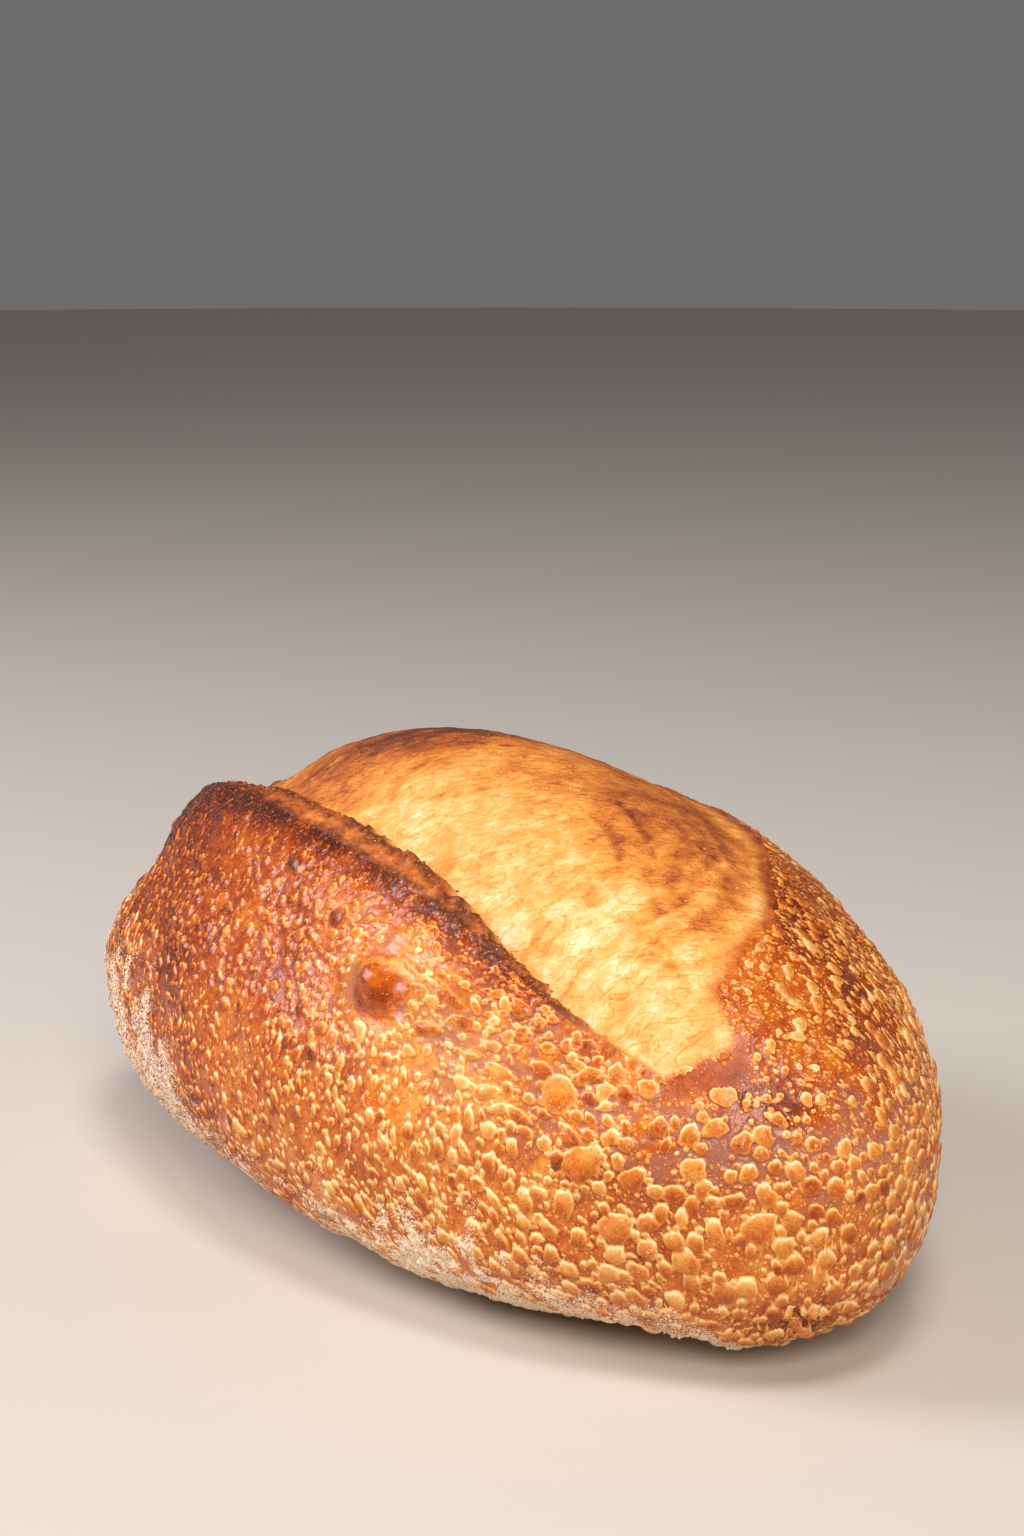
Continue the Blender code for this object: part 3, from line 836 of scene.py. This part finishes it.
# Baked crust: starch gelled and browned to a thin, hard, half-glossy skin. The browning picks the
# colour, from cream through amber and caramel to black; fine speckle breaks it up. Between the
# blisters that are modelled, pinhead ones too small for the mesh are drawn as round cells.
CRUST_STOPS = ((0.00, "#fde6b8"), (0.16, "#fbd592"), (0.30, "#f2b25e"), (0.42, "#e2933c"),
               (0.54, "#cd6a16"), (0.66, "#aa460b"), (0.78, "#7c2f0c"), (0.90, "#4a1c0a"),
               (1.00, "#21100a"))
BLOOM_STOPS = ((0.00, "#fbe4b8"), (0.18, "#f6c780"), (0.36, "#eea74e"), (0.52, "#de8a32"),
               (0.68, "#c46a22"), (0.84, "#9c4c17"), (1.00, "#662e10"))
FLOUR_WHITE = "#f9e7ca"
SHEEN_MAUVE = "#ad7560"
SPECKLE_MM = 0.5
PINHEAD_MM = (1.5, 0.85)     # how far apart the pinhead blisters of the two sizes stand
PULL_TURN = math.radians(-30.0)   # the bloom's strands run across the loaf, slanting to +X
WISP_MM = (1.0, 1.9, 1.5)    # torn gluten strands: across, along and up
CREASE_MM = (3.0, 11.0, 9.0)
PATCH_MM = (1.7, 2.8, 2.2)
CLOT_MM = 8.0
CRUMB_MM = 0.9
PINHEAD_SIZES, PINHEAD_PALER = (0.12, 0.47), -0.23     # radii as shares of that distance
OUTLINE_MM, OUTLINE_HALF_MM = (-0.08, 0.34), 0.11      # these four are depths inside a blister
LIP_MM = (0.66, 0.36)
CORE_MM = (0.5, 1.1)
TAUT_MM = (3.0, 2.2)         # past here a large bubble's skin has no wrinkles
WRINKLE_LINE, CREASE_LINE, PLEAT_LINE = 0.045, 0.022, 0.03   # how wide noise lines are drawn
SHEEN_COVER, FLOUR_COVER = 0.65, 0.94
POWDER_LEVELS = (0.60, 0.85)
ROUGHNESS = (0.19, 0.60)     # half-glossy crust, dull bloom and flour
SPECULAR = 0.42
RELIEF_DEPTH = 0.00025
GRAIN_MM = 0.45              # flour clumps: real grains are finer, drawn as coarse as they show

baked_crust, tree, shader = new_material("baked_crust")
place = add_node(tree, "ShaderNodeTexCoord").outputs["Object"]
held = {name: add_node(tree, "ShaderNodeAttribute", attribute_name=name).outputs["Fac"]
        for name in attributes}
noises = {}
for name, size_mm, detail, distortion in (
        ("fleck", (SPECKLE_MM,) * 3, 3.0, 0.0), ("wisp", WISP_MM, 4.0, 0.6),
        ("crease", CREASE_MM, 2.0, 0.8), ("patch", PATCH_MM, 4.0, 0.8),
        ("clot", (CLOT_MM,) * 3, 4.0, 1.2),
        ("crumb", (CRUMB_MM,) * 3, 3.0, 0.0), ("grain", (GRAIN_MM,) * 3, 4.0, 0.0)):
    at = add_node(tree, "ShaderNodeMapping", {"Vector": place, "Rotation": (0.0, 0.0, PULL_TURN),
                  "Scale": [mm / 1000.0 for mm in size_mm]}, vector_type="TEXTURE")
    noise = add_node(tree, "ShaderNodeTexNoise", {"Vector": at, "Scale": 1.0, "Detail": detail,
                                                  "Distortion": distortion})
    noises[name] = add_node(tree, "ShaderNodeMath", {0: noise, 1: 0.5}, operation="SUBTRACT")

# Pinhead blisters, paler than the skin they stand on.
level = held["skin"]
pinheads = 0.0
for cell_mm in PINHEAD_MM:
    at = add_node(tree, "ShaderNodeMapping", {"Vector": place, "Scale": [1000.0 / cell_mm] * 3})
    cell = add_node(tree, "ShaderNodeTexVoronoi", {"Vector": at, "Scale": 1.0})
    chance = add_node(tree, "ShaderNodeSeparateColor", {0: cell.outputs["Color"]})
    size = add_node(tree, "ShaderNodeMapRange", {"Value": chance, "To Min": PINHEAD_SIZES[0],
                    "To Max": PINHEAD_SIZES[1]})
    inward = add_node(tree, "ShaderNodeMath", {0: size, 1: cell.outputs["Distance"]},
                      operation="SUBTRACT")
    round_top = add_node(tree, "ShaderNodeMapRange", {"Value": inward, "From Min": 0.0,
                         "From Max": 0.16}, interpolation_type="SMOOTHSTEP")
    round_top = add_node(tree, "ShaderNodeMath", {0: round_top, 1: held["small"]},
                         operation="MULTIPLY")
    pinheads = add_node(tree, "ShaderNodeMath", {0: pinheads, 1: round_top}, operation="MAXIMUM")
paler = add_node(tree, "ShaderNodeMath", {0: pinheads, 1: PINHEAD_PALER}, operation="MULTIPLY")
level = add_node(tree, "ShaderNodeMath", {0: level, 1: paler}, operation="ADD")

# Modelled blisters: a dark outline, a pale lip that is a painted highlight, strongest on its
# upper side, and a browner cap.
blistered = add_node(tree, "ShaderNodeMapRange", {"Value": held["edge"], "From Min": OUTLINE_MM[0],
                     "From Max": OUTLINE_MM[1]}, interpolation_type="SMOOTHSTEP")
outline = add_node(tree, "ShaderNodeMath", {0: held["edge"], 1: 0.0, 2: OUTLINE_HALF_MM},
                   operation="COMPARE")
level = add_node(tree, "ShaderNodeMix", {0: blistered, 2: level, 3: held["bubble"]})
# The dark outline is partly browner skin and partly painted shade in the crevice at each blister's
# foot.
darker = add_node(tree, "ShaderNodeMath", {0: outline, 1: 0.07}, operation="MULTIPLY")
level = add_node(tree, "ShaderNodeMath", {0: level, 1: darker}, operation="ADD")
inner = add_node(tree, "ShaderNodeMapRange", {"Value": held["edge"], "From Min": LIP_MM[0],
                 "From Max": LIP_MM[1]}, interpolation_type="SMOOTHSTEP")
lip = add_node(tree, "ShaderNodeMath", {0: blistered, 1: inner}, operation="MULTIPLY")
# The lip's painted highlight is strongest on its upper side.
lip = add_node(tree, "ShaderNodeMath", {0: lip, 1: held["lip_highlight"]}, operation="MULTIPLY")
wrinkle = add_node(tree, "ShaderNodeMath", {0: noises["crumb"]}, operation="ABSOLUTE")
wrinkle = add_node(tree, "ShaderNodeMapRange", {"Value": wrinkle, "From Max": WRINKLE_LINE,
                   "To Min": 1.0, "To Max": 0.0})
wrinkle = add_node(tree, "ShaderNodeMath", {0: wrinkle, 1: blistered}, operation="MULTIPLY")
taut = add_node(tree, "ShaderNodeMapRange", {"Value": held["edge"], "From Min": TAUT_MM[0],
                "From Max": TAUT_MM[1]}, interpolation_type="SMOOTHSTEP")
wrinkle = add_node(tree, "ShaderNodeMath", {0: wrinkle, 1: taut}, operation="MULTIPLY")
calm = add_node(tree, "ShaderNodeMapRange", {"Value": blistered, "To Min": 1.0, "To Max": 0.75})
calm_fleck = add_node(tree, "ShaderNodeMath", {0: noises["fleck"], 1: calm}, operation="MULTIPLY")
core = add_node(tree, "ShaderNodeMapRange", {"Value": held["edge"], "From Min": CORE_MM[0],
                "From Max": CORE_MM[1]}, interpolation_type="SMOOTHSTEP")
for mark, strength in ((lip, -0.25), (core, 0.085), (wrinkle, -0.13), (calm_fleck, 0.22),
                       (noises["crumb"], 0.19)):
    level = add_node(tree, "ShaderNodeMath", {0: mark, 1: strength, 2: level},
                     operation="MULTIPLY_ADD")
colour = add_node(tree, "ShaderNodeValToRGB", {"Fac": level}, CRUST_STOPS)
# Painted sheen: between the blisters the colour is mixed towards mauve, a painted reflection.
between = add_node(tree, "ShaderNodeMath", {0: 1.0, 1: blistered}, operation="SUBTRACT")
sheened = add_node(tree, "ShaderNodeMath", {0: between, 1: held["painted_sheen"]}, operation="MULTIPLY")
sheened = add_node(tree, "ShaderNodeMath", {0: sheened, 1: SHEEN_COVER}, operation="MULTIPLY")
colour = add_node(tree, "ShaderNodeMix", {0: sheened, 6: colour, 7: linear(SHEEN_MAUVE)},
                  data_type="RGBA").outputs[2]

# The bloom's torn strands, folds and pleats, and the crumb of the torn face.
bloom_level = held["tender"]
for name, strength in (("fleck", 0.14), ("wisp", 0.20), ("patch", 0.44), ("clot", 0.45)):
    bloom_level = add_node(tree, "ShaderNodeMath", {0: noises[name], 1: strength, 2: bloom_level},
                           operation="MULTIPLY_ADD")
fold = add_node(tree, "ShaderNodeMath", {0: noises["crease"]}, operation="ABSOLUTE")
crease = add_node(tree, "ShaderNodeMapRange", {"Value": fold, "From Max": CREASE_LINE,
                  "To Min": 1.0, "To Max": 0.0})
pleat = add_node(tree, "ShaderNodeMath", {0: noises["patch"]}, operation="ABSOLUTE")
pleat = add_node(tree, "ShaderNodeMapRange", {"Value": pleat, "From Max": PLEAT_LINE,
                 "To Min": 1.0, "To Max": 0.0})
for mark, strength in ((crease, 0.18), (pleat, 0.13)):
    bloom_level = add_node(tree, "ShaderNodeMath", {0: mark, 1: strength, 2: bloom_level},
                           operation="MULTIPLY_ADD")
torn_level = add_node(tree, "ShaderNodeMath", {0: noises["crumb"], 1: 0.5, 2: held["crumb"]},
                      operation="MULTIPLY_ADD")
for name, over_level in (("bloom", bloom_level), ("torn", torn_level)):
    over = add_node(tree, "ShaderNodeValToRGB", {"Fac": over_level}, BLOOM_STOPS)
    colour = add_node(tree, "ShaderNodeMix", {0: held[name], 6: colour, 7: over},
                      data_type="RGBA").outputs[2]
# Flour lies over all, in grains where the coat is thin.
powder = add_node(tree, "ShaderNodeMath", {0: noises["grain"], 1: 3.6, 2: held["flour"]},
                  operation="MULTIPLY_ADD")
powder = add_node(tree, "ShaderNodeMapRange", {"Value": powder, "From Min": POWDER_LEVELS[0],
                  "From Max": POWDER_LEVELS[1], "To Max": FLOUR_COVER})
colour = add_node(tree, "ShaderNodeMix", {0: powder, 6: colour, 7: linear(FLOUR_WHITE)},
                  data_type="RGBA").outputs[2]
tree.links.new(colour, shader.inputs["Base Color"])

# Gloss, and the relief that is finer than the mesh.
dull = add_node(tree, "ShaderNodeMath", {0: held["dull"], 1: powder}, operation="MAXIMUM")
roughness = add_node(tree, "ShaderNodeMapRange", {"Value": dull, "To Min": ROUGHNESS[0],
                     "To Max": ROUGHNESS[1]})
tree.links.new(roughness.outputs[0], shader.inputs["Roughness"])
shader.inputs["Specular IOR Level"].default_value = SPECULAR
relief = add_node(tree, "ShaderNodeMath", {0: noises["patch"], 1: 2.2, 2: noises["fleck"]},
                  operation="MULTIPLY_ADD")
relief = add_node(tree, "ShaderNodeMath", {0: crease, 1: -0.5, 2: relief}, operation="MULTIPLY_ADD")
relief = add_node(tree, "ShaderNodeMath", {0: relief, 1: held["bloom"]}, operation="MULTIPLY")
relief = add_node(tree, "ShaderNodeMath", {0: calm_fleck, 1: 0.5, 2: relief},
                  operation="MULTIPLY_ADD")
raised = add_node(tree, "ShaderNodeMath", {0: pinheads, 1: between}, operation="MULTIPLY")
relief = add_node(tree, "ShaderNodeMath", {0: raised, 1: 0.9, 2: relief}, operation="MULTIPLY_ADD")
relief = add_node(tree, "ShaderNodeMath", {0: wrinkle, 1: 0.4, 2: relief}, operation="MULTIPLY_ADD")
bump = add_node(tree, "ShaderNodeBump", {"Height": relief, "Strength": 0.7, "Distance": RELIEF_DEPTH})
tree.links.new(bump.outputs[0], shader.inputs["Normal"])

# The skin is parted into pieces small enough to handle; their edges meet point on point.
FOOT_HEIGHT = 0.0172
BLISTERED_FROM = 0.077       # along x
centres = np.empty(len(loaf_data.polygons) * 3)
loaf_data.polygons.foreach_get("center", centres)
centres = centres.reshape(-1, 3)
corners = np.empty(len(loaf_data.loops), int)
loaf_data.loops.foreach_get("vertex_index", corners)
corners = corners.reshape(-1, 4)
in_score = (np.maximum(open_bloom, torn_face)[corners].max(axis=1) > 0.02)
on_floor = (surface[corners, 2].max(axis=1) <= 0.0)
underneath = (centres[:, 2] < FOOT_HEIGHT) & ~on_floor
region = np.select(
    [on_floor, in_score, centres[:, 0] > BLISTERED_FROM, underneath, centres[:, 1] < 0.0],
    ["sole", "bloom", "near", "foot", "eared"], "far")
PIECES = {"bloom": "bloom", "near": "crust_blistered_end", "foot": "crust_foot",
          "eared": "crust_ear_flank", "far": "crust_far_flank"}


def skin_piece(name, faces):
    """A piece of the skin: those faces of the fine mesh, shaded as part of the whole."""
    mesh = bmesh.new()
    mesh.from_mesh(loaf_data)
    mesh.verts.layers.int.new("number")
    number = mesh.verts.layers.int["number"]
    for i, vert in enumerate(mesh.verts):
        vert[number] = i
    mesh.faces.ensure_lookup_table()
    spare = [mesh.faces[i] for i in np.flatnonzero(~faces)]
    bmesh.ops.delete(mesh, geom=spare, context="FACES")
    numbers = [vert[number] for vert in mesh.verts]
    mesh.verts.layers.int.remove(number)
    data = bpy.data.meshes.new(name)
    mesh.to_mesh(data)
    mesh.free()
    data.shade_smooth()
    data.normals_split_custom_set_from_vertices(normals[numbers])
    return data


for key, name in PIECES.items():
    piece = new_object(name, skin_piece(name, region == key), baked_crust)
    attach(piece, "root")
    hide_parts("loaf")

# The sole: the flat underside that stood on the oven's stone, one face that closes the skin.
mesh = bmesh.new()
mesh.from_mesh(loaf_data)
mesh.faces.ensure_lookup_table()
spare = [mesh.faces[i] for i in np.flatnonzero(region != "sole")]
bmesh.ops.delete(mesh, geom=spare, context="FACES")
bmesh.ops.dissolve_faces(mesh, faces=mesh.faces[:])
sole_data = bpy.data.meshes.new("sole")
mesh.to_mesh(sole_data)
mesh.free()
sole = new_object("sole", sole_data, baked_crust)
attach(sole, "root")
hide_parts("loaf")

# Rice flour from the proving basket: single clumps of grains that cling to the foot of the flank,
# each set half into the crust. Real clumps are a few tenths of a millimetre across.
GRAINS = 1500
GRAIN_SEED = 51
GRAIN_SIZE = (0.00012, 0.00042)
seed_mesh = bmesh.new()
bmesh.ops.create_icosphere(seed_mesh, subdivisions=1, radius=1.0)
SEED_POINTS = np.array([vert.co[:] for vert in seed_mesh.verts])
SEED_FACES = np.array([[vert.index for vert in face.verts] for face in seed_mesh.faces])
seed_mesh.free()


def scattered(name, at, sizes, seed, material):
    """One piece of many small lumps, each an uneven ball set at its place."""
    chance = np.random.default_rng(seed)
    shapes = SEED_POINTS * chance.uniform(0.75, 1.25, (len(at), len(SEED_POINTS), 1))
    shapes = shapes * chance.uniform(0.7, 1.3, (len(at), 1, 3)) * sizes[:, None, None]
    corners = (at[:, None, :] + shapes).reshape(-1, 3)
    corners = np.clip(corners, low, high)
    faces = SEED_FACES[None] + len(SEED_POINTS) * np.arange(len(at))[:, None, None]
    data = bpy.data.meshes.new(name)
    data.from_pydata(corners.tolist(), [], faces.reshape(-1, 3).tolist())
    data.shade_smooth()
    piece = new_object(name, data, material)
    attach(piece, "root")
    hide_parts("loaf")


wheat_flour, _, flour_shader = new_material("wheat_flour")
flour_shader.inputs["Base Color"].default_value = linear(FLOUR_WHITE)
flour_shader.inputs["Roughness"].default_value = 0.95
flour_shader.inputs["Specular IOR Level"].default_value = 0.2
chance = np.random.default_rng(GRAIN_SEED)
likely = np.clip(flour - 0.25, 0.0, 0.6) * (surface[:, 2] > 0.001) * (1.0 + 2.0 * caked)
chosen = chance.choice(len(point), GRAINS, replace=False, p=likely / likely.sum())
sizes = chance.uniform(*GRAIN_SIZE, GRAINS)
scattered("flour_grains", surface[chosen], sizes, GRAIN_SEED, wheat_flour)

# Crumbs: torn off along the ear's foot and its edge and where the foot of the +X end broke, and
# toasted hard. Each lies half in the crust.
CRUMBS = 420
CRUMB_SEED = 52
CRUMB_SIZE = (0.00018, 0.00055)
CRUMB_BROWN = "#a9561c"
toasted_crumb, _, crumb_shader = new_material("toasted_crumb")
crumb_shader.inputs["Base Color"].default_value = linear(CRUMB_BROWN)
crumb_shader.inputs["Roughness"].default_value = 0.7
chance = np.random.default_rng(CRUMB_SEED)
along_ear = top * past(x, (0.095, -0.02))
at_foot, at_edge = around(across - torn, (0.0, 0.0012)), around(across, (0.0, 0.0010))
on_break = past(x, (0.112, 0.006)) * (z < 0.016) * (z > 0.002)
likely = total(0.0, ((1.0, at_foot * along_ear), (0.25, at_edge * along_ear), (0.6, on_break)))
likely *= past(x, (-0.085, 0.02))
chosen = chance.choice(len(point), CRUMBS, replace=False, p=likely / likely.sum())
sizes = chance.uniform(*CRUMB_SIZE, CRUMBS)
scattered("crumbs", surface[chosen], sizes, CRUMB_SEED, toasted_crumb)
